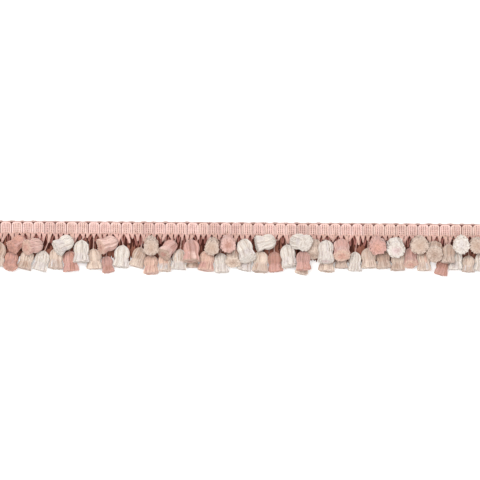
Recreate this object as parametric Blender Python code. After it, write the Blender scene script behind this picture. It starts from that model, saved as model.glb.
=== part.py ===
"""Tassel fringe trim, laid face up: a woven heading, its comb of hanger loops and fifty-eight yarn tassels.

+X runs along the trim, the tassels hang towards -Y and +Z is the face. The origin is the middle of the
heading's back. Sizes are millimetres until a shape is made, where MM turns them into metres.
"""

import math
from collections import namedtuple

import bpy
import numpy as np

MM = 0.001
GAP = 0.3  # between any two pieces

# Heading: a narrow braid, woven in repeats. Its weft turns over in a low crest above each edge that two repeats
# share, so its top edge is a row of shallow scallops.
REPEAT = 11.0
REPEATS = 45
HEADING_TOP = 5.6
CREST_RISE = 0.9
CREST_POINTS = 4
HEADING_FOOT = -6.0
HEADING_THICK = 3.0

# Hanger comb: the weft hangs below the heading in V-shaped loops, one below each repeat's middle and one below
# each edge that two repeats share.
COMB_TOP = HEADING_FOOT - GAP
COMB_STRIP = 1.3
COMB_THICK = 1.7
LOOP_PITCH = REPEAT / 2
LOOPS = 2 * REPEATS - 1
LOOP_WIDTH = 4.7
LOOP_TIP = 1.6
LOOP_TIP_Y = -9.6

# Tassel: a yarn bundle that swells from a tied neck to a head, draws in at the waist and flares to its cut end.
Ring = namedtuple("Ring", "along radius")
TASSEL_RINGS = (
    Ring(0.0, 1.3),
    Ring(3.0, 4.8),
    Ring(7.2, 6.8),
    Ring(12.2, 5.6),
    Ring(14.6, 6.8),
    Ring(20.0, 7.6),
)
TASSEL_LENGTH = TASSEL_RINGS[-1].along
CORD_RADIUS = 0.8
CORD_Z = CORD_RADIUS + 0.05
CORD_BEND = 3.2  # how far before the neck the cord lifts off the surface
CORD_BEND_SHARE = 0.6  # the most that is, as a share of the way from the loop to the neck
TUBE_SIDES = 8

# Yarns: name, colour.
Yarn = namedtuple("Yarn", "name colour")
YARNS = {
    "W": Yarn("blush_weft", (0.80, 0.53, 0.47)),
    "I": Yarn("ivory_yarn", (0.80, 0.71, 0.65)),
    "B": Yarn("beige_yarn", (0.65, 0.48, 0.41)),
    "P": Yarn("peach_yarn", (0.74, 0.54, 0.45)),
    "S": Yarn("salmon_yarn", (0.66, 0.38, 0.31)),
    "R": Yarn("rose_yarn", (0.70, 0.43, 0.37)),
    "T": Yarn("taupe_yarn", (0.49, 0.34, 0.28)),
}
YARN_ROUGHNESS = 0.85

# One row for each tassel, from the left end to the right: where the middle of its cut end lies, the way it
# leans from straight down towards +X, how steeply it rises off the surface, its size, its layer and its yarn.
Tassel = namedtuple("Tassel", "x y lean rise size layer yarn")
TASSELS = (
    Tassel(-235, -39, -8, 5, 1.20, 0, "B"),
    Tassel(-222, -22, -50, 38, 0.95, 1, "S"),
    Tassel(-225, -39, -4, 35, 0.92, 0, "S"),
    Tassel(-211, -21, -78, 38, 1.00, 2, "S"),
    Tassel(-213, -42, -14, 8, 0.98, 0, "B"),
    Tassel(-199, -42, -16, 5, 1.00, 0, "I"),
    Tassel(-179, -23, -55, 28, 1.02, 2, "I"),
    Tassel(-181, -41, -3, 10, 1.02, 0, "P"),
    Tassel(-166, -42, 6, 3, 1.00, 0, "S"),
    Tassel(-156, -36, 0, 8, 1.10, 2, "I"),
    Tassel(-141, -41, 3, 5, 1.00, 0, "P"),
    Tassel(-134, -21, -68, 30, 1.00, 2, "S"),
    Tassel(-126, -43, 8, 12, 0.82, 0, "R"),
    Tassel(-115, -40, -5, 8, 1.10, 0, "I"),
    Tassel(-101, -40, -14, 6, 1.00, 0, "B"),
    Tassel(-84, -20, 5, 70, 1.08, 1, "B"),
    Tassel(-86, -43, 2, 12, 0.95, 0, "S"),
    Tassel(-73, -28, -40, 35, 1.00, 2, "R"),
    Tassel(-74, -42, 0, 8, 0.90, 0, "I"),
    Tassel(-58, -41, -4, 5, 1.00, 0, "I"),
    Tassel(-45, -32, 0, 14, 1.12, 2, "R"),
    Tassel(-45, -40, 0, 3, 0.85, 0, "T"),
    Tassel(-24, -20, -10, 72, 1.02, 1, "B"),
    Tassel(-30, -42, -5, 12, 1.02, 0, "R"),
    Tassel(-8, -18, 10, 74, 1.05, 1, "S"),
    Tassel(-15, -44, 4, 8, 0.98, 0, "I"),
    Tassel(-1, -34, -5, 50, 1.00, 0, "P"),
    Tassel(12, -31, 18, 30, 1.12, 2, "I"),
    Tassel(10, -40, -14, 6, 0.95, 0, "I"),
    Tassel(20, -16, -80, 12, 1.02, 1, "I"),
    Tassel(24, -42, -3, 12, 1.05, 0, "P"),
    Tassel(41, -40, 5, 4, 1.00, 0, "S"),
    Tassel(53, -37, 10, 14, 1.12, 1, "I"),
    Tassel(66, -18, 78, 52, 1.12, 2, "I"),
    Tassel(68, -37, 2, 10, 0.95, 2, "R"),
    Tassel(62, -45, -10, 6, 0.88, 0, "T"),
    Tassel(75, -26, -15, 36, 0.95, 1, "B"),
    Tassel(88, -29, 0, 20, 1.10, 2, "I"),
    Tassel(90, -41, -5, 12, 1.02, 0, "B"),
    Tassel(105, -26, 5, 44, 1.08, 1, "S"),
    Tassel(107, -37, 0, 4, 0.88, 0, "B"),
    Tassel(118, -39, -2, 5, 0.95, 0, "I"),
    Tassel(133, -38, 3, 8, 1.00, 0, "B"),
    Tassel(140, -19, 0, 74, 1.10, 1, "R"),
    Tassel(148, -38, 5, 8, 0.92, 0, "T"),
    Tassel(159, -21, 8, 66, 1.15, 1, "I"),
    Tassel(161, -40, 0, 8, 0.92, 0, "B"),
    Tassel(174, -35, 3, 34, 0.95, 0, "S"),
    Tassel(183, -17, 10, 80, 1.18, 1, "B"),
    Tassel(188, -40, 3, 5, 1.00, 0, "P"),
    Tassel(196, -26, -8, 62, 1.12, 2, "B"),
    Tassel(209, -33, -3, 8, 0.92, 2, "B"),
    Tassel(206, -44, -12, 5, 0.86, 0, "S"),
    Tassel(224, -16, -4, 80, 1.15, 1, "I"),
    Tassel(222, -40, 0, 6, 0.95, 0, "I"),
    Tassel(231, -41, -3, 5, 0.82, 0, "P"),
    Tassel(239, -16, 6, 78, 1.02, 1, "B"),
    Tassel(242, -41, -4, 6, 0.95, 0, "I"),
)
LAYER_FLOOR = (0.0, 2.2, 2.2)  # the lowest that a tassel of each layer may reach: on the surface or over the cords
LAYER_START = (0.0, 2.2, 9.0)  # the height that it is lowered from


def axis_of(tassel):
    """Unit vector from a tassel's neck to the middle of its cut end."""
    lean, rise = math.radians(tassel.lean), math.radians(tassel.rise)
    return np.array((math.sin(lean) * math.cos(rise), -math.cos(lean) * math.cos(rise), math.sin(rise)))


# Crowding. Tassels lie against each other, so each is filled with balls, and balls that share space are eased
# apart, step by step, while every tassel is drawn back to its place in the table and down to the surface. A
# tassel's cord has balls as well, from its loop to its bend and then up to the neck.
CORE_BALLS = ((2.6, 3.2), (6.9, 6.8), (10.0, 6.1), (14.6, 6.7))  # along the axis, radius
RIM_AT, RIM_RADIUS, RIM_BALL, RIM_BALLS = 18.7, 6.4, 1.5, 14
LOW_CORD_BALLS = 10
HIGH_CORD_SHARES = (0.4, 0.8)  # of the way from the bend to the neck
CORD_BALLS = LOW_CORD_BALLS + len(HIGH_CORD_SHARES)
NEAR = 45.0
SETTLE_STEPS = 420
FREE_STEPS = 160  # the last steps, with nothing drawing the tassels back
CHOOSE_LOOPS_EVERY = 20
EASE = 0.28  # share of an overlap that one step clears
BAR_EASE = 2  # how much harder the heading and the comb push than a ball does
MOST_MOVE = 0.6
HOME_PULL = 0.02
SINK = 0.06
NECK_LIMIT_Y = -11.4
TINY = 1e-6


def reach_below(tassel):
    """How far a tassel's rings reach below its neck, with the neck's own ring upright."""
    rise = math.radians(tassel.rise)
    drops = [ring.radius * math.cos(rise) - ring.along * math.sin(rise) for ring in TASSEL_RINGS]
    return tassel.size * max(TASSEL_RINGS[0].radius, *drops)


def body_balls(tassel):
    """Offsets from the neck and radii of the balls that fill one tassel."""
    axis = axis_of(tassel)
    side = np.cross(axis, (0, 0, 1))
    side /= np.linalg.norm(side)
    over = np.cross(side, axis)
    balls = [(*(axis * along), radius) for along, radius in CORE_BALLS]
    for k in range(RIM_BALLS):
        turn = 2 * math.pi * k / RIM_BALLS
        spoke = math.cos(turn) * side + math.sin(turn) * over
        balls.append((*(axis * RIM_AT + spoke * RIM_RADIUS), RIM_BALL))
    return np.array(balls) * tassel.size


def cord_points(loop_x, neck):
    """Where a tassel's cord leaves the tip of its loop, lifts off the surface and meets the neck."""
    tip = np.array((loop_x, LOOP_TIP_Y - GAP))
    run = neck[:2] - tip
    reach = np.linalg.norm(run)
    run /= reach
    start = tip - (0, CORD_RADIUS * abs(run[0]))
    bend = neck[:2] - run * min(CORD_BEND, CORD_BEND_SHARE * reach)
    return np.array(((*start, CORD_Z), (*bend, CORD_Z), neck))


def loops_for(necks):
    """Along the trim, the middle of the loop that each tassel hangs from: the nearest free one, in their order."""
    loops = np.empty(len(necks))
    last = -1
    for i in np.argsort(necks[:, 0]):
        nearest = round(necks[i, 0] / LOOP_PITCH + (LOOPS - 1) / 2)
        last = min(max(nearest, last + 1), LOOPS - 1)
        loops[i] = (last - (LOOPS - 1) / 2) * LOOP_PITCH
    return loops


def box_push(centres, radii, low_y, high_y, top_z):
    """How far balls move to leave a bar that runs the trim's whole length."""
    nearest = centres.copy()
    nearest[:, 1] = np.clip(nearest[:, 1], low_y, high_y)
    nearest[:, 2] = np.clip(nearest[:, 2], 0, top_z)
    away = centres - nearest
    far = np.linalg.norm(away, axis=1)
    inside = np.maximum(radii + GAP - far, 0)
    return away / np.maximum(far, TINY)[:, None] * inside[:, None]


def settle(tassels):
    """Each tassel's neck and the loop that it hangs from, once no two tassels share space."""
    count = len(tassels)
    axes = np.array([axis_of(t) for t in tassels])
    reach = np.array([TASSEL_LENGTH * t.size for t in tassels])[:, None]
    neck_floors = np.array([LAYER_FLOOR[t.layer] + reach_below(t) for t in tassels])
    ends = np.array([(t.x, t.y, 0.0) for t in tassels])
    home = ends - axes * reach
    offsets = np.array([body_balls(t) for t in tassels])
    radii = offsets[:, :, 3]
    offsets = offsets[:, :, :3]
    home[:, 2] = [LAYER_START[t.layer] + reach_below(t) for t in tassels]
    necks = home.copy()
    loops = loops_for(necks)
    all_radii = np.concatenate([radii, np.full((count, CORD_BALLS), CORD_RADIUS)], axis=1).ravel()
    owner = np.repeat(np.arange(count), radii.shape[1] + CORD_BALLS)
    close = abs(home[:, None, 0] - home[None, :, 0]) < NEAR
    np.fill_diagonal(close, False)
    first, second = np.nonzero(np.triu(close[owner][:, owner], 1))
    touch = all_radii[first] + all_radii[second] + GAP
    for step in range(SETTLE_STEPS):
        pulled = step < SETTLE_STEPS - FREE_STEPS
        if pulled:
            necks[:, :2] += HOME_PULL * (home - necks)[:, :2]
            necks[:, 2] -= SINK
        if pulled and step % CHOOSE_LOOPS_EVERY == 0:
            loops = loops_for(necks)
        bodies = necks[:, None] + offsets
        cords = []
        for loop_x, neck in zip(loops, necks):
            start, bend, end = cord_points(loop_x, neck)
            share = np.linspace(0, 1, LOW_CORD_BALLS)[:, None]
            low = start + share * (bend - start)
            high = bend + np.array(HIGH_CORD_SHARES)[:, None] * (end - bend)
            cords.append(np.concatenate([low, high]))
        balls = np.concatenate([bodies, np.array(cords)], axis=1).reshape(-1, 3)
        apart = balls[first] - balls[second]
        far = np.maximum(np.linalg.norm(apart, axis=1), TINY)
        hit = far < touch
        push = apart[hit] * ((touch - far)[hit] / far[hit])[:, None]
        moved = np.zeros((count, 3))
        for one, sign in ((owner[first[hit]], 1), (owner[second[hit]], -1)):
            for k in range(3):
                moved[:, k] += sign * np.bincount(one, push[:, k], count)
        flat, flat_radii = bodies.reshape(-1, 3), radii.ravel()
        for bar in ((HEADING_FOOT, HEADING_TOP, HEADING_THICK), (LOOP_TIP_Y, COMB_TOP, COMB_THICK)):
            moved += BAR_EASE * box_push(flat, flat_radii, *bar).reshape(count, -1, 3).sum(axis=1)
        necks += np.clip(EASE * moved, -MOST_MOVE, MOST_MOVE)
        necks[:, 2] = np.maximum(necks[:, 2], neck_floors)
        necks[:, 1] = np.minimum(necks[:, 1], NECK_LIMIT_Y)
    return necks, loops


def yarn_material(yarn):
    material = bpy.data.materials.new(yarn.name)
    material.use_nodes = True
    shader = material.node_tree.nodes["Principled BSDF"]
    shader.inputs["Base Color"].default_value = (*yarn.colour, 1)
    shader.inputs["Roughness"].default_value = YARN_ROUGHNESS
    shader.inputs["Metallic"].default_value = 0
    return material


def new_curve(name, dimensions, points, yarn):
    """A curve object with one run of straight stretches through the points, which are millimetres."""
    curve = bpy.data.curves.new(name, "CURVE")
    curve.dimensions = dimensions
    spline = curve.splines.new("POLY")
    spline.points.add(len(points) - 1)
    for point, place in zip(spline.points, points):
        point.co = (*(MM * np.array(place)), 1)
    curve.materials.append(yarn)
    obj = bpy.data.objects.new(name, curve)
    trim.objects.link(obj)
    return obj


def flat_piece(name, outline, thick, yarn):
    """A closed outline cut from a sheet of one thickness, lying with its back on the surface."""
    obj = new_curve(name, "2D", [(x, y, 0) for x, y in outline], yarn)
    obj.data.splines[0].use_cyclic_u = True
    obj.data.fill_mode = "BOTH"
    obj.data.extrude = thick / 2 * MM
    obj.location.z = thick / 2 * MM


def heading_outline():
    half = REPEATS * REPEAT / 2
    outline = [(-half, HEADING_FOOT), (half, HEADING_FOOT)]
    for repeat in reversed(range(REPEATS)):
        for step in reversed(range(CREST_POINTS)):
            share = (step + 0.5) / CREST_POINTS
            rise = CREST_RISE * abs(math.cos(math.pi * share))
            outline.append(((repeat + share) * REPEAT - half, HEADING_TOP + rise))
    return outline


def comb_outline():
    half = REPEATS * REPEAT / 2
    strip_foot = COMB_TOP - COMB_STRIP
    outline = [(half, COMB_TOP), (-half, COMB_TOP), (-half, strip_foot)]
    for loop in range(LOOPS):
        middle = (loop - (LOOPS - 1) / 2) * LOOP_PITCH
        outline += [
            (middle - LOOP_WIDTH / 2, strip_foot),
            (middle - LOOP_TIP / 2, LOOP_TIP_Y),
            (middle + LOOP_TIP / 2, LOOP_TIP_Y),
            (middle + LOOP_WIDTH / 2, strip_foot),
        ]
    outline.append((half, strip_foot))
    return outline


def hung_tassel(name, tassel, loop_x, neck, yarn):
    """One tassel and the cord that it hangs by: a run of round rings that ends in a flat cut end."""
    axis = axis_of(tassel)
    start, bend, _ = cord_points(loop_x, neck)
    centres = [start - neck, bend - neck] + [axis * ring.along * tassel.size for ring in TASSEL_RINGS]
    radii = [CORD_RADIUS, CORD_RADIUS] + [ring.radius * tassel.size for ring in TASSEL_RINGS]
    obj = new_curve(name, "3D", centres, yarn)
    obj.data.twist_mode = "MINIMUM"
    obj.data.bevel_depth = MM
    obj.data.bevel_resolution = TUBE_SIDES // 2 - 2
    obj.data.use_fill_caps = True
    obj.data.splines[0].use_smooth = True
    for point, radius in zip(obj.data.splines[0].points, radii):
        point.radius = radius
    obj.location = neck * MM


for leftover in list(bpy.data.objects):
    bpy.data.objects.remove(leftover)
trim = bpy.data.collections.new("tassel_fringe_trim")
bpy.context.scene.collection.children.link(trim)

yarns = {letter: yarn_material(yarn) for letter, yarn in YARNS.items()}
flat_piece("heading", heading_outline(), HEADING_THICK, yarns["W"])
flat_piece("hangers", comb_outline(), COMB_THICK, yarns["W"])
for number, (tassel, neck, loop_x) in enumerate(zip(TASSELS, *settle(TASSELS)), 1):
    hung_tassel(f"tassel_{number:02d}", tassel, loop_x, neck, yarns[tassel.yarn])
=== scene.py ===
"""Tassel fringe trim: a woven heading, its hanging loops and its yarn tassels, laid face up on a pale floor.

+X runs along the trim, the tassels hang towards -Y and +Z is the face that shows.
"""

import math
import random
from collections import namedtuple

import bmesh
import bpy
import numpy as np
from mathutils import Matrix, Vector


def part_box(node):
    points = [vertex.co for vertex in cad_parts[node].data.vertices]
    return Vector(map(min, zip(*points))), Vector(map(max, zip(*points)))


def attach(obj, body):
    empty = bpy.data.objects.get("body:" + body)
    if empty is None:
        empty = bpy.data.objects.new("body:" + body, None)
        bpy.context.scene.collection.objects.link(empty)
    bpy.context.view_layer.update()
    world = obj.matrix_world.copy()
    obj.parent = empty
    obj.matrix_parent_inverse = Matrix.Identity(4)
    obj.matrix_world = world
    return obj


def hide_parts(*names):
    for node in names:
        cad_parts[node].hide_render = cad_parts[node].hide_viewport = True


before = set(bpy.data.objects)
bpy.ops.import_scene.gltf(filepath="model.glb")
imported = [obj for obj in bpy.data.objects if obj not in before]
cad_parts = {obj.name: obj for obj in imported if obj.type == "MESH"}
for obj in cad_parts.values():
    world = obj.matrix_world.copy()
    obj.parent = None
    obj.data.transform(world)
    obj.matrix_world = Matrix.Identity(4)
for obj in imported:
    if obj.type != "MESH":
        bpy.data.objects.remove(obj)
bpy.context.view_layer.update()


# ---------------------------------------------------------------------------------------------------
# Heading ground. A strip of plain-woven rose cotton carries the heading's cords. They are woven
# through it, so from the front it only shows in the gaps, and its back is what is sewn down. Its rose
# is painted deep as the shade of those gaps, and deeper still as painted shade where a thread dips under.

MM = 0.001
heading_low, heading_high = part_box("heading")
GROUND_THICK = 0.9 * MM
GROUND_EDGE = 0.25 * MM
GROUND_TOP_Y = 4.9 * MM
COTTON_GLOSS = 0.25
SHEEN_SOFTNESS = 0.5
# Painted shade: the ground's two rose tones are darkened to the shade of the gaps it shows through, the
# deeper one where a thread dips under.
ROSE_SHADOW = (0.135, 0.035, 0.028)
GROUND_ROSE_IN_SHADE = (0.36, 0.135, 0.115)
BACK_THREAD = 0.8 * MM  # from one thread of the plain weave to the next
WEAVE_RELIEF = 0.15 * MM
CRISP_CORNER = math.radians(50)  # edges that turn more than this stay crisp on the ground's cut sides


def new_material(name, roughness, sheen):
    """A cloth finish with nothing linked to its shader yet."""
    material = bpy.data.materials.new(name)
    material.use_nodes = True
    shader = material.node_tree.nodes["Principled BSDF"]
    shader.inputs["Roughness"].default_value = roughness
    shader.inputs["Specular IOR Level"].default_value = COTTON_GLOSS
    shader.inputs["Sheen Weight"].default_value = sheen
    shader.inputs["Sheen Roughness"].default_value = SHEEN_SOFTNESS
    return material, shader


def node(material, kind, **inputs):
    """Adds a node. Each input takes a value, or the socket that feeds it."""
    made = material.node_tree.nodes.new("ShaderNode" + kind)
    for name, value in inputs.items():
        socket = made.inputs[name.replace("_", " ")]
        if isinstance(value, bpy.types.NodeSocket):
            material.node_tree.links.new(value, socket)
        else:
            socket.default_value = value
    return made


def ramp(material, factor, *stops):
    """A colour ramp fed by the factor. Each stop is a place and a colour."""
    made = node(material, "ValToRGB", Fac=factor)
    elements = made.color_ramp.elements
    while len(elements) < len(stops):
        elements.new(1)
    for element, (place, colour) in zip(elements, stops):
        element.position = place
        element.color = (*colour, 1)
    return made.outputs["Color"]


def ramp_of(material, value, low, high):
    """The value as a share of the way from low to high, kept from 0 to 1."""
    made = node(material, "MapRange", Value=value, From_Min=low, From_Max=high)
    return made.outputs["Result"]


def blend(material, factor, first, second, way="MIX"):
    """The first colour, with as much of the second as the factor says."""
    made = node(material, "MixRGB", Fac=factor, Color1=first, Color2=second)
    made.blend_type = way
    return made.outputs["Color"]


def bump(material, shader, height, distance):
    """A fine relief, as high as the distance where the height is 1."""
    made = node(material, "Bump", Height=height, Distance=distance)
    material.node_tree.links.new(made.outputs["Normal"], shader.inputs["Normal"])


def place_piece(bm, name, material):
    """Makes a shaped bmesh a piece of the trim."""
    mesh = bpy.data.meshes.new(name)
    bm.to_mesh(mesh)
    bm.free()
    mesh.shade_smooth()
    mesh.materials.append(material)
    piece = bpy.data.objects.new(name, mesh)
    bpy.context.scene.collection.objects.link(piece)
    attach(piece, "root")
    return piece


def ground_cloth():
    """Plain weave: threads along and across take turns to lie on top, with painted shade where a thread dips
    under.
    """
    material, shader = new_material("shaded_rose_ground", roughness=0.95, sheen=0.2)
    place = node(material, "TexCoord").outputs["Object"]
    axes = node(material, "SeparateXYZ", Vector=place)
    turns = []
    for axis in "XY":
        phase = node(material, "Math", Value=axes.outputs[axis])
        phase.operation = "MULTIPLY"
        phase.inputs[1].default_value = math.pi / BACK_THREAD
        turn = node(material, "Math", Value=phase.outputs[0])
        turn.operation = "SINE"
        turns.append(turn.outputs[0])
    weave = node(material, "Math")
    weave.operation = "MULTIPLY"
    material.node_tree.links.new(turns[0], weave.inputs[0])
    material.node_tree.links.new(turns[1], weave.inputs[1])
    fuzz = node(material, "TexNoise", Vector=place, Scale=2600.0, Detail=3.0)
    tone = ramp(material, ramp_of(material, weave.outputs[0], -1, 1), (0.2, ROSE_SHADOW), (0.9, GROUND_ROSE_IN_SHADE))
    tone = blend(material, 0.35, tone, fuzz.outputs["Color"], "SOFT_LIGHT")
    material.node_tree.links.new(tone, shader.inputs["Base Color"])
    bump(material, shader, weave.outputs[0], WEAVE_RELIEF)
    return material


ground = bmesh.new()
bmesh.ops.create_cube(ground, size=1)
ground_size = Vector((heading_high.x - heading_low.x, GROUND_TOP_Y - heading_low.y, GROUND_THICK))
ground_middle = Vector((0, (GROUND_TOP_Y + heading_low.y) / 2, GROUND_THICK / 2))
bmesh.ops.scale(ground, vec=ground_size, verts=ground.verts)
bmesh.ops.translate(ground, vec=ground_middle, verts=ground.verts)
bmesh.ops.bevel(
    ground, geom=ground.edges[:], offset=GROUND_EDGE, affect="EDGES", segments=2, profile=0.5, material=-1
)
heading_ground = place_piece(ground, "heading_ground", ground_cloth())
heading_ground.data.set_sharp_from_angle(angle=CRISP_CORNER)


# ---------------------------------------------------------------------------------------------------
# Heading weft. Two-ply blush cotton cords are laid up and down across the ground. In each repeat one
# goes over as an arch, and the others fill it with four ribs. The arches' round shoulders leave a small
# gap between each two of them. The cords come from several dye baths, so their tone drifts.

REPEATS = 45
REPEAT = (heading_high.x - heading_low.x) / REPEATS
WEFT = 1.65 * MM
ARCH_WIDE = 0.98 * WEFT
ARCH_LEG = 4.54 * MM
ARCH_Z = 2.1 * MM
ARCH_SWAY = 0.18 * MM
RIBS = (-2.83 * MM, -0.94 * MM, 0.94 * MM, 2.83 * MM)
RIB_WIDE = 1.02 * WEFT
RIB_DEEP = 0.95 * WEFT
RIB_Z = 1.6 * MM
RIB_LEAN = 0.15 * MM
RIB_LIFT = 0.12 * MM
RIB_GATHER = 0.97  # how far apart the ribs still are under the arch's top, as a share of their places
PLY_TURN = 3.6 * MM  # along a cord for one whole turn of its plies
FURROW = 0.22  # depth of the furrows between two plies, as a share of the cord's radius
CORD_SIDES = 8
BATHS = ((0.25, 0.83, 0), (0.25, 2.17, 0))  # waves of tone from repeat to repeat
DYE_SPREAD = 0.3  # how far one cord's dye strays from its repeat's
FIBRE_STRETCH = (2.2, 2.2, 60.0)  # fibres to the cord's round and to its length
FIBRE_RELIEF = 0.12 * MM
WORN_TONES = ((0.35, (0.90, 0.86, 0.84)), (0.60, (1.0, 1.0, 1.0)))
BATH_TONES = ((0.0, (0.84, 0.79, 0.79)), (0.35, (0.96, 0.98, 0.94)), (0.7, (1.0, 0.98, 0.99)))
BLUSH_LIGHT = (0.88, 0.66, 0.605)
BLUSH = (0.81, 0.54, 0.485)
BLUSH_SHADOW = (0.40, 0.175, 0.14)


def up_and_round(place, steps):
    """A number that grows up a straight cord and then round it, to list its parts in a fixed order."""
    return 2 * math.pi * round(2 * steps * place.z) + math.atan2(place.y, place.x)


def straight_cord(sides, steps, turns=0.0, furrow=0.0):
    """A cord that stands on the origin, one unit tall and thick, and where its points are.

    Its two plies leave furrows that wind up it by the given turns.
    """
    bm = bmesh.new()
    bmesh.ops.create_circle(bm, segments=sides, radius=0.5)
    for vert in bm.verts:
        around = math.atan2(vert.co.y, vert.co.x)
        vert.co *= 1 - furrow * (1 + math.cos(2 * around)) / 2
    bmesh.ops.spin(
        bm,
        geom=bm.verts[:] + bm.edges[:],
        axis=(0, 0, 1),
        cent=(0, 0, 0),
        dvec=(0, 0, 1 / steps),
        angle=turns * 2 * math.pi,
        steps=steps,
    )
    bmesh.ops.holes_fill(bm, edges=bm.edges)
    bmesh.ops.recalc_face_normals(bm, faces=bm.faces)
    bm.verts.sort(key=lambda vert: up_and_round(vert.co, steps))
    bm.faces.sort(key=lambda face: up_and_round(face.calc_center_median(), steps))
    mesh = bpy.data.meshes.new("straight_cord")
    bm.to_mesh(mesh)
    bm.free()
    points = np.empty(len(mesh.vertices) * 3)
    mesh.vertices.foreach_get("co", points)
    points = points.reshape(-1, 3)
    around = np.arctan2(points[:, 1], points[:, 0]) - points[:, 2] * turns * 2 * math.pi
    winding = np.column_stack([np.cos(around), np.sin(around), points[:, 2]])
    mesh.attributes.new("fibre", "FLOAT_VECTOR", "POINT").data.foreach_set("vector", winding.ravel())
    for name in ("dye", "tint_and_shade", "down", "cut"):
        mesh.attributes.new(name, "FLOAT", "POINT")
    return mesh, points


def smooth_route(points, count):
    """As many places as asked, evenly spaced along one smooth Catmull-Rom curve through the points."""
    points = np.array(points, float)
    ends = np.array([2 * points[0] - points[1], *points, 2 * points[-1] - points[-2]])
    between = 8  # places worked out from each point to the next, before they are spaced evenly
    share = np.linspace(0, 1, between + 1)[:-1, None]
    runs = []
    for before, start, end, after in zip(ends, ends[1:], ends[2:], ends[3:]):
        runs.append(
            0.5
            * (
                2 * start
                + (end - before) * share
                + (2 * before - 5 * start + 4 * end - after) * share**2
                + (3 * start - before - 3 * end + after) * share**3
            )
        )
    fine = np.concatenate([*runs, points[-1:]])
    walked = np.concatenate([[0], np.cumsum(np.linalg.norm(np.diff(fine, axis=0), axis=1))])
    stops = np.linspace(0, walked[-1], count)
    return np.column_stack([np.interp(stops, walked, fine[:, k]) for k in range(3)])


def unit(vectors):
    """The same directions, each one unit long."""
    return vectors / np.maximum(np.linalg.norm(vectors, axis=-1, keepdims=True), 1e-12)


chance = random.Random(11)
UPWARD = (0, 0, 1)


def lay_cord(bm, cord, route, up, width, depth, dye=0.5, tint_and_shade=None, down=None, cut=0.0):
    """Adds a copy of the straight cord that follows the route, with its own y side turned up.

    Width and depth may change along the route. The dye, the tint, which on a tassel also holds painted
    light on its locks' ridges and painted shade in their furrows, how far down the cord a point lies and
    whether it is a cut end are for the cord's finish to read.
    """
    mesh, points = cord
    places = np.arange(len(route))
    along = points[:, 2] * places[-1]
    forward = unit(np.gradient(route, axis=0))
    over = np.broadcast_to(np.array(up, float), route.shape)
    over = unit(over - (over * forward).sum(axis=1, keepdims=True) * forward)
    aside = np.cross(forward, over)

    def share_out(size):
        """The size at each point of the cord, from one value or from one for each place of the route."""
        return np.interp(along, places, np.broadcast_to(size, len(route)))

    def vector_at(vectors):
        """The vector at each point of the cord, from one for each place of the route."""
        return np.column_stack([np.interp(along, places, vectors[:, k]) for k in range(3)])

    sideways = vector_at(aside) * (points[:, 0] * share_out(width))[:, None]
    upward = vector_at(over) * (points[:, 1] * share_out(depth))[:, None]
    laid = vector_at(route) + sideways + upward
    mesh.vertices.foreach_set("co", laid.ravel())
    looks = {
        "dye": dye,
        "tint_and_shade": chance.random() if tint_and_shade is None else tint_and_shade,
        "down": np.linspace(0, 1, len(route)) if down is None else down,
        "cut": cut,
    }
    for name, value in looks.items():
        mesh.attributes[name].data.foreach_set("value", share_out(value))
    bm.from_mesh(mesh)


def tapered(count, size):
    """A cord's thickness along its route, drawn in to half at both ends."""
    sizes = np.full(count, size)
    sizes[[0, -1]] /= 2
    return sizes


def drift(place, *waves):
    """A slow, uneven wander. Each wave has a size, a pace and a start."""
    return sum(size * np.sin(place * pace + start) for size, pace, start in waves)


def twisted_cotton(name, light, middle, shadow, deep_z, high_z, sheen=0.15):
    """Two-ply cord, with fine fibres that wind round each ply.

    It has its light tone at the high z and its shadow at the deep one, where it lies low in the weave.
    """
    material, shader = new_material(name, roughness=0.9, sheen=sheen)
    place = node(material, "TexCoord").outputs["Object"]
    fibre = node(material, "Attribute")
    fibre.attribute_name = "fibre"
    dye = node(material, "Attribute")
    dye.attribute_name = "dye"
    winding = node(material, "Mapping", Vector=fibre.outputs["Vector"], Scale=FIBRE_STRETCH)
    streaks = node(material, "TexNoise", Vector=winding.outputs["Vector"], Scale=2.5, Detail=4.0)
    patches = node(material, "TexNoise", Vector=place, Scale=260.0, Detail=2.0)
    height = node(material, "SeparateXYZ", Vector=place).outputs["Z"]
    lift = ramp_of(material, height, deep_z, high_z)
    tone = ramp(material, lift, (0.0, shadow), (0.45, middle), (1.0, light))
    tone = blend(material, 0.5, tone, streaks.outputs["Color"], "SOFT_LIGHT")
    tone = blend(material, 1.0, tone, ramp(material, patches.outputs["Fac"], *WORN_TONES), "MULTIPLY")
    tone = blend(material, 1.0, tone, ramp(material, dye.outputs["Fac"], *BATH_TONES), "MULTIPLY")
    material.node_tree.links.new(tone, shader.inputs["Base Color"])
    bump(material, shader, streaks.outputs["Fac"], FIBRE_RELIEF)
    return material


blush_cotton = twisted_cotton("blush_cotton", BLUSH_LIGHT, BLUSH, BLUSH_SHADOW, 0.9 * MM, 2.6 * MM)

ARCH_SIDE = (
    Vector((-ARCH_LEG, -6.2 * MM, 1.3 * MM)),
    Vector((-ARCH_LEG, -5.3 * MM, ARCH_Z)),
    Vector((-ARCH_LEG, -1.8 * MM, ARCH_Z)),
    Vector((-ARCH_LEG, 2.2 * MM, ARCH_Z)),
    Vector((-4.3 * MM, 3.1 * MM, 2.0 * MM)),
    Vector((-3.5 * MM, 3.95 * MM, 1.75 * MM)),
    Vector((-2.2 * MM, 4.3 * MM, 1.55 * MM)),
)
ARCH_TOP = Vector((0, 4.4 * MM, 1.45 * MM))
arch_points = [*ARCH_SIDE, ARCH_TOP, *(Vector((-p.x, p.y, p.z)) for p in reversed(ARCH_SIDE))]
ARCH_STEPS = 58
RIB_STEPS = 26
ARCH_LENGTH = 29 * MM
RIB_LENGTH = 11 * MM
arch_cord = straight_cord(CORD_SIDES, ARCH_STEPS, ARCH_LENGTH / PLY_TURN, FURROW)
rib_cord = straight_cord(CORD_SIDES, RIB_STEPS, RIB_LENGTH / PLY_TURN, FURROW)

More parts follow.
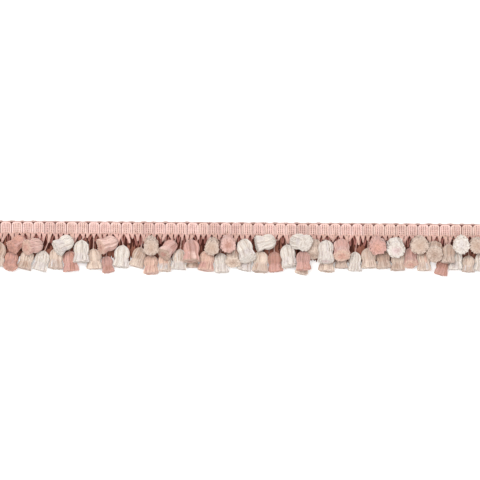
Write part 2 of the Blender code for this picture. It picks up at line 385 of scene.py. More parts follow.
arches = bmesh.new()
ribs = bmesh.new()
for repeat in range(REPEATS):
    middle = heading_low.x + (repeat + 0.5) * REPEAT + chance.uniform(-ARCH_SWAY, ARCH_SWAY)
    bath = 0.5 + drift(repeat, *BATHS)
    route = smooth_route(arch_points, ARCH_STEPS + 1)
    route[:, 0] += middle
    dye = bath + chance.uniform(-DYE_SPREAD, DYE_SPREAD)
    lay_cord(arches, arch_cord, route, UPWARD, tapered(len(route), ARCH_WIDE), WEFT, dye=dye)
    for x in RIBS:
        lean = chance.uniform(-RIB_LEAN, RIB_LEAN)
        lift = chance.uniform(-RIB_LIFT, RIB_LIFT)
        rib_points = (
            (middle + x, -5.8 * MM, 1.0 * MM),
            (middle + x + lean, -4.8 * MM, RIB_Z + lift),
            (middle + x, -1.0 * MM, RIB_Z + lift),
            (middle + x - lean, 3.4 * MM, RIB_Z),
            (middle + x * RIB_GATHER, 4.4 * MM, 1.2 * MM),
        )
        route = smooth_route(rib_points, RIB_STEPS + 1)
        dye = bath + chance.uniform(-DYE_SPREAD, DYE_SPREAD)
        lay_cord(ribs, rib_cord, route, UPWARD, RIB_WIDE, RIB_DEEP, dye=dye)
heading_arches = place_piece(arches, "heading_arches", blush_cotton)
heading_ribs = place_piece(ribs, "heading_ribs", blush_cotton)


# ---------------------------------------------------------------------------------------------------
# Heading crests. Three cords run behind the arches' tops from one repeat to the next. A dark burgundy
# one, painted shade, shows as a small dark eye in each gap between two arches, a blush cord closes the
# eyes from above, and a greyish mauve one, painted shade of the edge that turns away from the light,
# makes the low scallops of the heading's top edge.

CREST_STEPS_EACH = 10
CREST_FURROW = 0.2
CREST_INSET = 0.3 * MM  # from the ground's cut sides to the crests' ends
CREST_PEAK = 1.5  # above 1, the crests' peaks are narrower than the dips between them
CREST_WAVES = ((0.12 * MM, 333, 0), (0.08 * MM, 871, 0))
# Painted shade: the greyish mauve of the heading's top edge, where it turns away from the light.
SHADED_MAUVE_LIGHT = (0.80, 0.65, 0.61)
SHADED_MAUVE = (0.71, 0.54, 0.50)
SHADED_MAUVE_SHADOW = (0.42, 0.26, 0.23)
# Painted shade: the near-black of the small eyes between the arches.
EYE_PAINTED_SHADE = (0.05, 0.012, 0.010)
shaded_mauve_cotton = twisted_cotton("shaded_mauve_cotton", SHADED_MAUVE_LIGHT, SHADED_MAUVE, SHADED_MAUVE_SHADOW, 0.2 * MM, 1.6 * MM)
eye_shade_cotton = twisted_cotton("eye_shade_cotton", EYE_PAINTED_SHADE, EYE_PAINTED_SHADE, EYE_PAINTED_SHADE, 0.2 * MM, 1.6 * MM, sheen=0.0)
Crest = namedtuple("Crest", "name material y rise z thick")
CRESTS = (
    Crest("heading_eye_shade", eye_shade_cotton, 3.8 * MM, 0.0 * MM, 1.2 * MM, 1.3 * MM),
    Crest("heading_inner_crest", blush_cotton, 5.0 * MM, 0.25 * MM, 1.1 * MM, 1.25 * MM),
    Crest("heading_outer_crest", shaded_mauve_cotton, 5.55 * MM, 0.65 * MM, 0.85 * MM, 1.3 * MM),
)
crest_steps = REPEATS * CREST_STEPS_EACH
crest_cord = straight_cord(CORD_SIDES, crest_steps, REPEATS * REPEAT / PLY_TURN, CREST_FURROW)
x = np.linspace(heading_low.x + CREST_INSET, heading_high.x - CREST_INSET, crest_steps + 1)
near_edge = ((1 + np.cos(2 * math.pi * (x - heading_low.x) / REPEAT)) / 2) ** CREST_PEAK
wander = drift(x, *CREST_WAVES)
for crest in CRESTS:
    bm = bmesh.new()
    route = np.column_stack([x, crest.y + crest.rise * near_edge + wander, np.full(len(x), crest.z)])
    lay_cord(bm, crest_cord, route, UPWARD, crest.thick, crest.thick)
    place_piece(bm, crest.name, crest.material)


# ---------------------------------------------------------------------------------------------------
# Heading warps. Five fine blush threads run the whole length, over the ribs and down under the arches'
# legs, and hold the weft in place.

WARP = 0.5 * MM
WARP_DEEP = 0.8 * WARP
WARP_SIDES = 5
WARP_INSET = 0.4 * MM
WARP_ROWS = (2.7 * MM, 0.9 * MM, -0.9 * MM, -2.7 * MM, -4.9 * MM)
WARP_HIGH = 2.52 * MM
WARP_LOW = 1.1 * MM
WARP_CLIMB = 0.12  # a warp is low for this share of a repeat beside its edge, and climbs over as much again
WARP_WAVES = ((0.18 * MM, 410, 2.1), (0.1 * MM, 1130, 1))  # the start is for each row further down
WARP_STEPS_EACH = 10
warp_thread = straight_cord(WARP_SIDES, REPEATS * WARP_STEPS_EACH)
warps = bmesh.new()
for row, y in enumerate(WARP_ROWS):
    x = np.linspace(heading_low.x + WARP_INSET, heading_high.x - WARP_INSET, REPEATS * WARP_STEPS_EACH + 1)
    place = (x - heading_low.x) / REPEAT % 1
    from_edge = np.minimum(place, 1 - place)
    over = np.clip((from_edge - WARP_CLIMB) / WARP_CLIMB, 0, 1)
    z = WARP_LOW + (WARP_HIGH - WARP_LOW) * over**2 * (3 - 2 * over)
    wander = drift(x, *((size, pace, row * start) for size, pace, start in WARP_WAVES))
    route = np.column_stack([x, y + wander, z])
    lay_cord(warps, warp_thread, route, UPWARD, WARP, WARP_DEEP, dye=chance.random())
heading_warps = place_piece(warps, "heading_warps", blush_cotton)

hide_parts("heading")


# ---------------------------------------------------------------------------------------------------
# Hanging loops. Below the heading the weft cords hang in pointed loops, a short one nested in each long
# one. Some are pulled astray, towards their neighbours. A second layer of loops hangs behind them, half a
# loop along; they are of the same pink, painted a deeper rose as the shade they hang in.

LOOPS = 2 * REPEATS - 1
LOOP_PITCH = REPEAT / 2
LOOP_CORD = 1.28 * MM
LOOP_DEEP = 0.95  # how deep a loop's cord is, as a share of its width
LOOP_SIDES = 7
LOOP_STEPS = 30
LOOP_TURNS = 4.6
LOOP_TOP_Y = -5.2 * MM
LOOP_DROP = 1.1 * MM  # from a loop's ends to where its legs begin to draw together
LOOP_GATHER = 0.97  # how far apart the legs still are there, as a share of the spread at the ends
LOOP_DIP = 0.5 * MM  # how far its ends tuck down into the heading
LOOP_LEGS = 0.475  # half the gap between its legs half way down, as a share of its spread
TIP_HALF = 0.5 * MM
TIP_RISE = 0.9 * MM
FRONT_SPREAD = 2.05 * MM
FRONT_Z = 1.75 * MM
FRONT_TIP_LOW = (-1.2, -14.0, 1.0)  # in mm, with x from the loop's own middle, as is the next
FRONT_TIP_HIGH = (1.2, -10.0, 1.5)
NESTED_SPREAD = 0.75 * MM
NESTED_SHORTER = 1.9 * MM
NESTED_HIGHER = 0.1 * MM
ASTRAY = Vector((2.6, -2.4, 0.7)) * MM  # how far the most stray tips go aside, down and up off the rest
ASTRAY_PACE = 2.4
BACK_SPREAD = 2.0 * MM
BACK_Z = 0.95 * MM
BACK_TIP_ASIDE = 2.0 * MM
BACK_TIP_Y = (-19.0 * MM, -13.0 * MM)
BACK_TIP_Z = 0.75 * MM
LOOP_LIGHT = (0.74, 0.49, 0.43)
LOOP = (0.62, 0.37, 0.32)
LOOP_SHADOW = (0.34, 0.13, 0.105)
# Painted shade: the deeper rose of the loops behind, which stands for the shade they hang in.
SHADED_ROSE_LOOP_LIGHT = (0.42, 0.18, 0.15)
SHADED_ROSE_LOOP = (0.28, 0.095, 0.078)
SHADED_ROSE_LOOP_SHADOW = (0.11, 0.025, 0.02)
loop_cord = straight_cord(LOOP_SIDES, LOOP_STEPS, LOOP_TURNS, FURROW)
hanging_cotton = twisted_cotton("hanging_cotton", LOOP_LIGHT, LOOP, LOOP_SHADOW, 0.4 * MM, 2.0 * MM)
shaded_rose_cotton = twisted_cotton("shaded_rose_cotton", SHADED_ROSE_LOOP_LIGHT, SHADED_ROSE_LOOP, SHADED_ROSE_LOOP_SHADOW, 0.1 * MM, 1.3 * MM)


def hang_loop(bm, x, tip, spread, top_z):
    """One pointed loop from the heading's lower edge, down to its tip and back up."""
    half_way = (Vector((x, LOOP_TOP_Y, top_z)) + tip) / 2
    loop_points = (
        (x - spread, LOOP_TOP_Y, top_z - LOOP_DIP),
        (x - spread * LOOP_GATHER, LOOP_TOP_Y - LOOP_DROP, top_z),
        (half_way.x - spread * LOOP_LEGS, half_way.y, half_way.z),
        (tip.x - TIP_HALF, tip.y + TIP_RISE, tip.z),
        (tip.x, tip.y, tip.z),
        (tip.x + TIP_HALF, tip.y + TIP_RISE, tip.z),
        (half_way.x + spread * LOOP_LEGS, half_way.y, half_way.z),
        (x + spread * LOOP_GATHER, LOOP_TOP_Y - LOOP_DROP, top_z),
        (x + spread, LOOP_TOP_Y, top_z - LOOP_DIP),
    )
    route = smooth_route(loop_points, LOOP_STEPS + 1)
    lay_cord(bm, loop_cord, route, UPWARD, LOOP_CORD, LOOP_CORD * LOOP_DEEP, dye=chance.random())


front_loops = bmesh.new()
back_loops = bmesh.new()
for loop in range(LOOPS):
    x = (loop - (LOOPS - 1) / 2) * LOOP_PITCH
    aside = math.sin(loop * ASTRAY_PACE) ** 3
    tip = Vector([chance.uniform(*limits) for limits in zip(FRONT_TIP_LOW, FRONT_TIP_HIGH)]) * MM
    tip += Vector((x + ASTRAY.x * aside, ASTRAY.y * abs(aside), ASTRAY.z * abs(aside)))
    hang_loop(front_loops, x, tip, FRONT_SPREAD, FRONT_Z)
    hang_loop(front_loops, x, tip + Vector((0, NESTED_SHORTER, NESTED_HIGHER)), NESTED_SPREAD, FRONT_Z)
    behind = x + LOOP_PITCH / 2
    deep_x = behind + chance.uniform(-BACK_TIP_ASIDE, BACK_TIP_ASIDE)
    deep_tip = Vector((deep_x, chance.uniform(*BACK_TIP_Y), BACK_TIP_Z))
    if loop < LOOPS - 1:
        hang_loop(back_loops, behind, deep_tip, BACK_SPREAD, BACK_Z)
hanging_loops = place_piece(front_loops, "hanging_loops", hanging_cotton)
hanging_loops_behind = place_piece(back_loops, "hanging_loops_behind", shaded_rose_cotton)
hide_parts("hangers")
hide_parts("hangers")


# ---------------------------------------------------------------------------------------------------
# Inner threads. Fine threads hang behind the loops and the tassels' stems and close the gaps between them.
# Their dark tones are painted shade, standing in for the shade in those gaps: short burgundy ones in front,
# and longer brown ones behind.

THREAD_THICK = 0.5 * MM
THREAD_SIDES = 4
THREAD_STEPS = 8
THREAD_UNEVEN = 0.7  # how far a thread strays along the trim, as a share of the gap to the next
THREAD_SWAY = (0.7 * MM, 1.2 * MM)  # at its middle and at its end
# Painted shade: the dark tones of the inner threads stand for the shade between the loops and the tassels.
BURGUNDY_SHADE = (0.08, 0.018, 0.012)
DEEP_BURGUNDY_SHADE = (0.04, 0.008, 0.006)
BROWN_SHADE = (0.32, 0.13, 0.09)
DEEP_BROWN_SHADE = (0.20, 0.07, 0.048)
thread_cord = straight_cord(THREAD_SIDES, THREAD_STEPS)
Threads = namedtuple("Threads", "name light dark count wide z lowest highest")
THREAD_LAYERS = (
    Threads("brown_shade_threads", BROWN_SHADE, DEEP_BROWN_SHADE, 660, 1.7 * MM, 0.3 * MM, -34 * MM, -29 * MM),
    Threads("burgundy_shade_threads", BURGUNDY_SHADE, DEEP_BURGUNDY_SHADE, 330, 1.6 * MM, 0.65 * MM, -25 * MM, -14 * MM),
)
for layer in THREAD_LAYERS:
    cotton = twisted_cotton(layer.name, layer.light, layer.light, layer.dark, 0, layer.z, sheen=0.0)
    threads = bmesh.new()
    for thread in range(layer.count):
        share = (thread + chance.uniform(0, THREAD_UNEVEN)) / layer.count
        x = heading_low.x + share * (heading_high.x - heading_low.x)
        end_y = chance.uniform(layer.lowest, layer.highest)
        thread_points = (
            (x, LOOP_TOP_Y, layer.z),
            (x + chance.uniform(-THREAD_SWAY[0], THREAD_SWAY[0]), (LOOP_TOP_Y + end_y) / 2, layer.z),
            (x + chance.uniform(-THREAD_SWAY[1], THREAD_SWAY[1]), end_y, layer.z),
        )
        route = smooth_route(thread_points, THREAD_STEPS + 1)
        wide = tapered(len(route), layer.wide)
        lay_cord(threads, thread_cord, route, UPWARD, wide, THREAD_THICK, dye=chance.random())
    place_piece(threads, layer.name, cotton)


# ---------------------------------------------------------------------------------------------------
# Tassels and stems. Each tassel is a bundle of soft cotton yarn. The strands swell over a round head, are
# drawn in at the waist and flare to a skirt that is cut off flat. It is tied at the neck to its stem, a
# twisted cord that comes out from under the heading and lifts off the surface just before the neck.

TASSEL_LENGTH = 20.0 * MM
CUT_RADIUS = 7.6 * MM
OUTLINE = (  # along from the neck and the radius there, as shares of the tassel's length
    (0.0, 0.06),
    (0.04, 0.15),
    (0.10, 0.23),
    (0.18, 0.295),
    (0.28, 0.34),
    (0.40, 0.355),
    (0.52, 0.345),
    (0.60, 0.315),
    (0.65, 0.298),
    (0.70, 0.318),
    (0.78, 0.348),
    (0.88, 0.362),
    (1.0, 0.38),
)
outline_points = np.array(OUTLINE)
WAIST = 0.6  # past this share of its length a tassel flares and its strands part
TWIST = 0.5  # the most that strands wind round a tassel from its neck to its cut end
LUMPS = ((2, 0.05), (3, 0.035))  # how many go round a tassel, and how high they are
SKIRT_LUMPS = (5, 0.03)
LEAST_GIRTH = 0.6 * MM  # at the neck, strands are no thinner than they would be at this radius
SKIRT_FLUFF = 0.15  # how much wider strands grow down the skirt
TIP_TAPER = 0.93
STRAND_DEEP = 1.4 * MM
STRAND_WAVE = (0.06, 9)  # how far a strand wavers round the tassel, and its pace
FACE_DOME = 0.01  # how much longer a tassel is at the cut end's middle than at its rim

RIM_STRANDS = 64
RIM_SIDES = 4
RIM_STEPS = 12
RIM_OVERLAP = 1.35
RIM_UNEVEN = 0.25  # how far an outer strand strays round the rim, as a share of the gap to the next
RIM_LONGER = 0.3 * MM
RIM_INSET = 0.6 * MM  # how far inside the outline the outer strands' middles lie
RIM_SETTLE = 5  # one over the share of a tassel's length by which its outer strands lie free
STRAY = (-0.25, 0.35)  # in mm, as is the next
SKIRT_STRAY = 0.3
INNER_STRANDS = 130
INNER_SIDES = 5
INNER_STEPS = 2
INNER_FROM = 0.62
INNER_REACH = 0.88
INNER_ACROSS = 28  # an inner strand's width goes this often round the outline
INNER_LONGER = 0.35 * MM
GOLDEN_ANGLE = math.pi * (3 - math.sqrt(5))
Bundle = namedtuple("Bundle", "cord steps from_share across")
RIM = Bundle(straight_cord(RIM_SIDES, RIM_STEPS), RIM_STEPS, 0, RIM_STRANDS / RIM_OVERLAP)
INNER = Bundle(straight_cord(INNER_SIDES, INNER_STEPS), INNER_STEPS, INNER_FROM, INNER_ACROSS)

LOCKS = (9, 13)  # the strands cling together in so many locks round a tassel, with a furrow between each two
LOCK_UNEVEN = 0.03  # how far the locks are bunched to two sides, as a share of a turn
LOCK_RELIEF = 0.28 * MM
LOCK_LONGER = (-0.7 * MM, 0.4 * MM)
LOCK_DYE_STRAY = 0.12
TINT = 0.48
# Painted light and shade: the tint is raised on a lock's ridge as a painted highlight and lowered in its
# furrows as painted shade.
RIDGE_LIGHT_FURROW_SHADE = 0.3  # how much paler a lock's ridge is, and how much deeper its furrows
TINT_STRAY = 0.35
HEART_FULL = 1.3  # above 1, so that a cut end's middle has all of the heart's dye
HEART_FADE = 1.8
HEART_STRAY = 0.2
PETALS = 7  # rays of the heart's dye on a cut end
PETAL_REACH = 0.2

CORE_SIDES = 18
CORE_STEPS = 12
CORE_TO = 0.95
CORE_DEPTH = 1.0 * MM  # how far inside the outline the solid core lies
CORE_LEAST = 0.2 * MM
CORE_DYE = 0.3
CRISP_EDGE = math.radians(80)
core_cord = straight_cord(CORE_SIDES, CORE_STEPS)

STEM_SIDES = 7
STEM_STEPS = 26
STEM_TURNS = 6
STEM_WIDE = 1.5 * MM
STEM_DEEP = 1.4 * MM
STEM_LOW = 0.75 * MM
STEM_HELD = (-11 * MM, 1.75 * MM)  # above this y and below this z, the heading holds a solid's cord
STEM_TUCK = 0.8 * MM  # how far it runs on under the heading
STEM_EARLY = 0.2  # the share of its run by which it is down on the surface
STEM_LIFT = (3.2 * MM, 0.6)  # it lifts off this far from the neck, or at most this share of its run
STEM_INSIDE = 1.5 * MM
STEM_SIDE_UP = (1, 0, 0.2)
stem_cord = straight_cord(STEM_SIDES, STEM_STEPS, STEM_TURNS, FURROW)

WHITE = (0.81, 0.755, 0.70)
# Partly painted shade: on the skirts this greyish lilac white stands in part for the shade on their lower
# sides.
LILAC_WHITE = (0.74, 0.68, 0.66)
CREAM = (0.82, 0.69, 0.59)
OAT = (0.68, 0.55, 0.47)
SAND = (0.61, 0.45, 0.36)
TAUPE = (0.50, 0.36, 0.29)
PEACH = (0.80, 0.57, 0.47)
PALE_BLUSH = (0.82, 0.60, 0.54)
LILAC_BLUSH = (0.76, 0.61, 0.60)
BLUSH_YARN = (0.75, 0.51, 0.46)
ROSE = (0.69, 0.42, 0.37)
MAUVE_YARN = (0.58, 0.36, 0.32)
SALMON = (0.72, 0.41, 0.33)
DEEP_SALMON = (0.58, 0.32, 0.26)
RUST = (0.46, 0.27, 0.21)
YARN_STRETCH = (1.6, 1.6, 9.0)  # streaks to the strand's round and to its length
YARN_RELIEF = 0.5 * MM
FLUFF_TONES = ((0.35, (0.82, 0.77, 0.74)), (0.60, (1.0, 1.0, 1.0)))
# The tint darkens strands at random, and less on the locks' ridges and more in their furrows, as painted
# light and shade.
TINT_AND_SHADE_TONES = ((0.0, (0.72, 0.66, 0.62)), (0.6, (1.0, 1.0, 1.0)))
DYE_TURN = (0.56, 0.72)  # the skirt's dyes take over from the head's between these shares of the length

Mix = namedtuple("Mix", "head head_second skirt skirt_second face heart tassels")
MIXES = {  # the two dyes of the head, of the skirt and of the cut end, and the tassels made from them
    "white": Mix(WHITE, WHITE, WHITE, LILAC_WHITE, WHITE, WHITE, (6, 7, 10, 14, 26, 28, 30, 33, 34, 42, 55)),
    "lilac_white": Mix(CREAM, WHITE, LILAC_WHITE, WHITE, WHITE, LILAC_WHITE, (20, 29, 54, 58)),
    "white_and_blush": Mix(WHITE, LILAC_WHITE, WHITE, LILAC_WHITE, WHITE, LILAC_BLUSH, (38, 46)),
    "peach_and_lilac": Mix(PEACH, CREAM, LILAC_WHITE, OAT, CREAM, OAT, (19, 50)),
    "cream": Mix(CREAM, OAT, OAT, LILAC_WHITE, OAT, CREAM, (8, 56)),
    "cream_and_sand": Mix(CREAM, CREAM, OAT, SAND, OAT, SAND, (5, 31, 47)),
    "oat": Mix(OAT, SAND, OAT, CREAM, CREAM, OAT, (1, 15, 36, 43)),
    "oat_striped": Mix(CREAM, OAT, OAT, CREAM, CREAM, SAND, (11, 37, 39)),
    "olive": Mix(OAT, SAND, OAT, OAT, OAT, SAND, (16, 23, 41, 49, 52, 57)),
    "apricot_and_cream": Mix(PEACH, CREAM, CREAM, CREAM, CREAM, SAND, (27,)),
    "brown_heart": Mix(SAND, OAT, CREAM, OAT, OAT, TAUPE, (51,)),
    "taupe": Mix(SAND, TAUPE, OAT, TAUPE, OAT, CREAM, (22, 45)),
    "apricot": Mix(PEACH, PEACH, ROSE, PEACH, PEACH, ROSE, (17, 24)),
    "salmon": Mix(DEEP_SALMON, RUST, ROSE, DEEP_SALMON, SALMON, DEEP_SALMON, (32, 53)),
    "salmon_speckled": Mix(ROSE, SALMON, ROSE, DEEP_SALMON, SALMON, DEEP_SALMON, (2, 3, 9)),
    "salmon_rayed": Mix(BLUSH_YARN, ROSE, BLUSH_YARN, ROSE, BLUSH_YARN, DEEP_SALMON, (25,)),
    "salmon_and_blush": Mix(PALE_BLUSH, BLUSH_YARN, PALE_BLUSH, ROSE, PEACH, SALMON, (4, 12)),
    "salmon_and_rose": Mix(ROSE, BLUSH_YARN, BLUSH_YARN, ROSE, PEACH, SALMON, (40, 48)),
    "rose": Mix(MAUVE_YARN, ROSE, ROSE, DEEP_SALMON, SALMON, ROSE, (13, 35)),
    "pink": Mix(BLUSH_YARN, ROSE, BLUSH_YARN, ROSE, ROSE, SALMON, (44,)),
    "blush_and_brown": Mix(BLUSH_YARN, ROSE, BLUSH_YARN, PALE_BLUSH, SAND, DEEP_SALMON, (18,)),
    "rose_and_sand": Mix(ROSE, MAUVE_YARN, ROSE, PALE_BLUSH, SAND, DEEP_SALMON, (21,)),
}


def soft_yarn(name, mix):
    """Loosely spun cotton, with dyes that turn from the head's to the skirt's at the waist.

    The strands carry which of two dyes they have, how light they are, at random and as painted light on the
    locks' ridges and painted shade in their furrows, how far down they are and, at their cut tips, a cut of
    1 for the face's dye and of 2 for its heart's.
    """
    material, shader = new_material(name, roughness=0.95, sheen=0.25)
    place = node(material, "TexCoord").outputs["Object"]
    read = {}
    for attribute in ("fibre", "dye", "tint_and_shade", "down", "cut"):
        read[attribute] = node(material, "Attribute")
        read[attribute].attribute_name = attribute
    lengthwise = node(material, "Mapping", Vector=read["fibre"].outputs["Vector"], Scale=YARN_STRETCH)
    streaks = node(material, "TexNoise", Vector=lengthwise.outputs["Vector"], Scale=2.2, Detail=4.0)
    fluff = node(material, "TexNoise", Vector=place, Scale=1300.0, Detail=4.0)
    dye = read["dye"].outputs["Fac"]
    head = ramp(material, dye, (0.35, mix.head), (0.65, mix.head_second))
    skirt = ramp(material, dye, (0.35, mix.skirt), (0.65, mix.skirt_second))
    tone = blend(material, ramp_of(material, read["down"].outputs["Fac"], *DYE_TURN), head, skirt)
    cut = read["cut"].outputs["Fac"]
    face = blend(material, ramp_of(material, cut, 1, 2), (*mix.face, 1), (*mix.heart, 1))
    tone = blend(material, ramp_of(material, cut, 0.4, 1), tone, face)
    tone = blend(material, 0.8, tone, ramp(material, fluff.outputs["Fac"], *FLUFF_TONES), "MULTIPLY")
    tone = blend(material, 1.0, tone, ramp(material, read["tint_and_shade"].outputs["Fac"], *TINT_AND_SHADE_TONES), "MULTIPLY")
    tone = blend(material, 0.5, tone, streaks.outputs["Color"], "SOFT_LIGHT")
    material.node_tree.links.new(tone, shader.inputs["Base Color"])
    rough = node(material, "MixRGB", Fac=0.5, Color1=streaks.outputs["Fac"], Color2=fluff.outputs["Fac"])
    bump(material, shader, rough.outputs["Color"], YARN_RELIEF)
    return material


def read_solid(solid):
    """Where a tassel's cut end and its stem lie.

    Gives the middle, outward direction and radius of the cut end, which is the solid's largest flat face,
    and the place where its cord comes out from under the heading.
    """
    bm = bmesh.new()
    bm.from_mesh(solid.data)
    bmesh.ops.remove_doubles(bm, verts=bm.verts, dist=0.001 * MM)
    facing = {}
    for face in bm.faces:
        facing.setdefault(tuple(round(part, 2) for part in face.normal), []).append(face)
    flat = max(facing.values(), key=lambda faces: sum(face.calc_area() for face in faces))
    corners = list(dict.fromkeys(vert for face in flat for vert in face.verts))
    middle = sum((vert.co for vert in corners), Vector()) / len(corners)
    radius = sum((vert.co - middle).length for vert in corners) / len(corners)
    outward = flat[0].normal.copy()
    held = [vert.co for vert in bm.verts if vert.co.y > STEM_HELD[0] and vert.co.z < STEM_HELD[1]]
    start = sum(held, Vector()) / len(held)
    bm.free()
    return middle, outward, radius, start


def tassel(name, solid, material):
    """Lays one tassel's yarn in its solid's place. Gives its neck, its direction and its stem's start."""
    middle, axis, radius, start = read_solid(solid)
    size = radius / CUT_RADIUS
    length = TASSEL_LENGTH * size
    neck = middle - axis * length
    side = axis.cross(Vector(UPWARD)).normalized()
    over = side.cross(axis)
    turned = np.array((side, over, axis))
    *lump_starts, lock_start, petal_start = (chance.uniform(0, 2 * math.pi) for _ in range(5))
    twist = chance.uniform(-TWIST, TWIST)
    locks = chance.randint(*LOCKS)
    lock_dyes = [chance.random() for _ in range(locks)]
    lock_lengths = [chance.uniform(*LOCK_LONGER) for _ in range(locks)]
    bm = bmesh.new()

    def girth_at(share):
        return np.interp(share, outline_points[:, 0], outline_points[:, 1]) * length

    def strand(bundle, around, spread, longer, cut_tone, dye=None):
        """One strand, at its share of the bundle's radius. With no dye of its own, it is in a lock."""
        lock_turn = around / (2 * math.pi) + LOCK_UNEVEN * math.sin(2 * around + lock_start)
        ridge = math.cos(2 * math.pi * locks * lock_turn)
        if dye is None:
            lock = int(locks * lock_turn + 0.5) % locks
            dye = lock_dyes[lock] + chance.uniform(-LOCK_DYE_STRAY, LOCK_DYE_STRAY)
            longer += lock_lengths[lock]
        share = np.linspace(bundle.from_share, 1, bundle.steps + 1)
        girth = girth_at(share)
        flare = np.clip((share - WAIST) / (1 - WAIST), 0, 1)
        wave = chance.uniform(0, 2 * math.pi)
        stray = (chance.uniform(*STRAY) + SKIRT_STRAY * flare * chance.uniform(-1, 1)) * MM
        turn = around + twist * share + STRAND_WAVE[0] * np.sin(share * STRAND_WAVE[1] + wave)
        lumps = 1 + sum(high * np.cos(many * turn + at) for (many, high), at in zip(LUMPS, lump_starts))
        lumps += SKIRT_LUMPS[1] * np.cos(SKIRT_LUMPS[0] * turn + lump_starts[-1]) * flare
        reach = girth * spread * lumps
        if spread == 1:
            reach += (stray + LOCK_RELIEF * ridge) * np.clip(share * RIM_SETTLE, 0, 1) - RIM_INSET * size
        outward = np.column_stack([np.cos(turn), np.sin(turn), np.zeros(len(turn))])
        local = outward * reach[:, None]
        local[:, 2] = share * length * (1 + FACE_DOME * (1 - spread**2)) + longer * flare
        width = 2 * math.pi * np.maximum(girth, LEAST_GIRTH) / bundle.across * (1 + SKIRT_FLUFF * flare)
        width[-1] *= TIP_TAPER
        depth = np.minimum(width, STRAND_DEEP * size)
        cut = np.zeros(bundle.steps + 1)
        cut[-1] = cut_tone
        # paler on a lock's ridge as painted light, deeper in its furrows as painted shade, and at random
        tint_and_shade = TINT + RIDGE_LIGHT_FURROW_SHADE * ridge * spread**2 + chance.uniform(-TINT_STRAY, TINT_STRAY)
        route = np.array(neck) + local @ turned
        route[:, 2] = np.maximum(route[:, 2], depth / 2)
        lay_cord(bm, bundle.cord, route, outward @ turned, width, depth, dye, tint_and_shade, share, cut)

    for k in range(RIM_STRANDS):
        around = 2 * math.pi * (k + chance.uniform(-RIM_UNEVEN, RIM_UNEVEN)) / RIM_STRANDS
        strand(RIM, around, 1, chance.uniform(-RIM_LONGER, RIM_LONGER), 1)
    for k in range(INNER_STRANDS):
        spread = INNER_REACH * math.sqrt((k + 0.5) / INNER_STRANDS)
        around = k * GOLDEN_ANGLE
        petal = PETAL_REACH * math.cos(PETALS * around + petal_start)
        heart = HEART_FULL - HEART_FADE * spread + petal + chance.uniform(-HEART_STRAY, HEART_STRAY)
        cut_tone = 1 + min(max(heart, 0), 1)
        strand(INNER, around, spread, chance.uniform(-INNER_LONGER, INNER_LONGER), cut_tone, chance.random())
    share = np.linspace(0, CORE_TO, CORE_STEPS + 1)
    route = np.array(neck) + np.outer(share * length, np.array(axis))
    thick = 2 * np.maximum(girth_at(share) - CORE_DEPTH, CORE_LEAST)
    lay_cord(bm, core_cord, route, side, thick, thick, dye=CORE_DYE, down=share)
    piece = place_piece(bm, name, material)
    piece.data.set_sharp_from_angle(angle=CRISP_EDGE)
    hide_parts(solid.name)
    return neck, axis, start


yarn_of = {}
for name, mix in MIXES.items():
    material = soft_yarn(name + "_yarn_mix", mix)
    for number in mix.tassels:
        yarn_of[f"tassel_{number:02d}"] = material
stems = bmesh.new()
for name in sorted(yarn_of):
    neck, axis, start = tassel("yarn_" + name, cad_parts[name], yarn_of[name])
    run = Vector((neck.x - start.x, neck.y - start.y, 0))
    lift = neck - run.normalized() * min(STEM_LIFT[0], STEM_LIFT[1] * run.length)
    stem_points = (
        (start.x, start.y + STEM_TUCK, 1.1 * MM),
        (start.x + run.x * STEM_EARLY, start.y + run.y * STEM_EARLY, 0.95 * MM),
        (lift.x, lift.y, 1.2 * MM),
        tuple(neck),
        tuple(neck + axis * STEM_INSIDE),
    )
    route = smooth_route(stem_points, STEM_STEPS + 1)
    route[:, 2] = np.maximum(route[:, 2], STEM_LOW)
    lay_cord(stems, stem_cord, route, STEM_SIDE_UP, STEM_WIDE, STEM_DEEP, dye=chance.random())
place_piece(stems, "tassel_stems", hanging_cotton)


# ---------------------------------------------------------------------------------------------------
# Studio. A white floor that glows a little, as a light table does, broad soft light from above and a
# long lens straight above the trim.

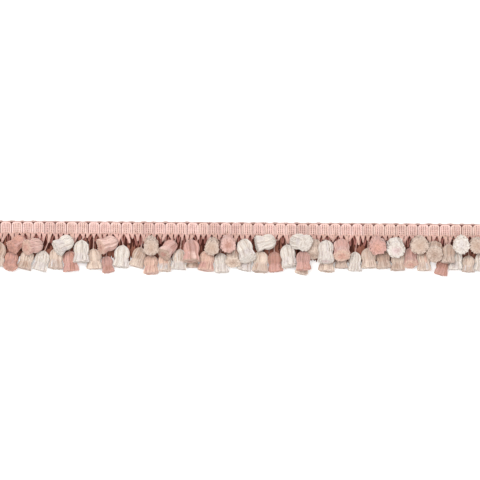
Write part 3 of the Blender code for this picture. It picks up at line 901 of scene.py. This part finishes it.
FLOOR_SIZE = 6.0
FLOOR_BELOW = 0.05 * MM  # so that it doesn't meet the trim's own flat back
FLOOR_GLOW = 0.2  # as on a light table, so that the floor stays white under a soft shadow
AIR_GLOW = 0.48
VIEW_WIDTH = 481 * MM
VIEW_HEIGHT = 3.0
VIEW_CENTRE = Vector((3.5 * MM, -11.7 * MM, 0))
VIEW_ROLL = math.radians(0.4)

floor_bm = bmesh.new()
bmesh.ops.create_grid(floor_bm, x_segments=1, y_segments=1, size=FLOOR_SIZE / 2)
floor_mesh = bpy.data.meshes.new("studio_floor")
floor_bm.to_mesh(floor_mesh)
floor_bm.free()
floor_material, floor_shader = new_material("studio_white", roughness=0.9, sheen=0.0)
floor_shader.inputs["Base Color"].default_value = (0.95, 0.95, 0.95, 1)
floor_shader.inputs["Emission Color"].default_value = (1, 1, 1, 1)
floor_shader.inputs["Emission Strength"].default_value = FLOOR_GLOW
floor_mesh.materials.append(floor_material)
floor = bpy.data.objects.new("studio_floor", floor_mesh)
floor.location.z = -FLOOR_BELOW
bpy.context.scene.collection.objects.link(floor)


def soft_light(name, place, size, power):
    """A square lamp that faces the trim."""
    light = bpy.data.lights.new(name, "AREA")
    light.size = size
    light.energy = power
    lamp = bpy.data.objects.new(name, light)
    lamp.location = place
    lamp.rotation_euler = (-Vector(place)).to_track_quat("-Z", "Y").to_euler()
    bpy.context.scene.collection.objects.link(lamp)


soft_light("key_light", (-0.4, 0.5, 2.2), size=1.0, power=37)
soft_light("fill_light", (0.5, -0.5, 2.2), size=1.4, power=19)

world = bpy.data.worlds.new("studio_air")
world.use_nodes = True
world.node_tree.nodes["Background"].inputs["Color"].default_value = (1, 1, 1, 1)
world.node_tree.nodes["Background"].inputs["Strength"].default_value = AIR_GLOW
bpy.context.scene.world = world
bpy.context.scene.view_settings.view_transform = "Standard"

camera_data = bpy.data.cameras.new("view_from_above")
camera_data.lens = camera_data.sensor_width * VIEW_HEIGHT / VIEW_WIDTH
camera_data.clip_end = 20
camera = bpy.data.objects.new("view_from_above", camera_data)
camera.location = VIEW_CENTRE + Vector((0, 0, VIEW_HEIGHT))
camera.rotation_euler.z = VIEW_ROLL
bpy.context.scene.collection.objects.link(camera)
bpy.context.scene.camera = camera
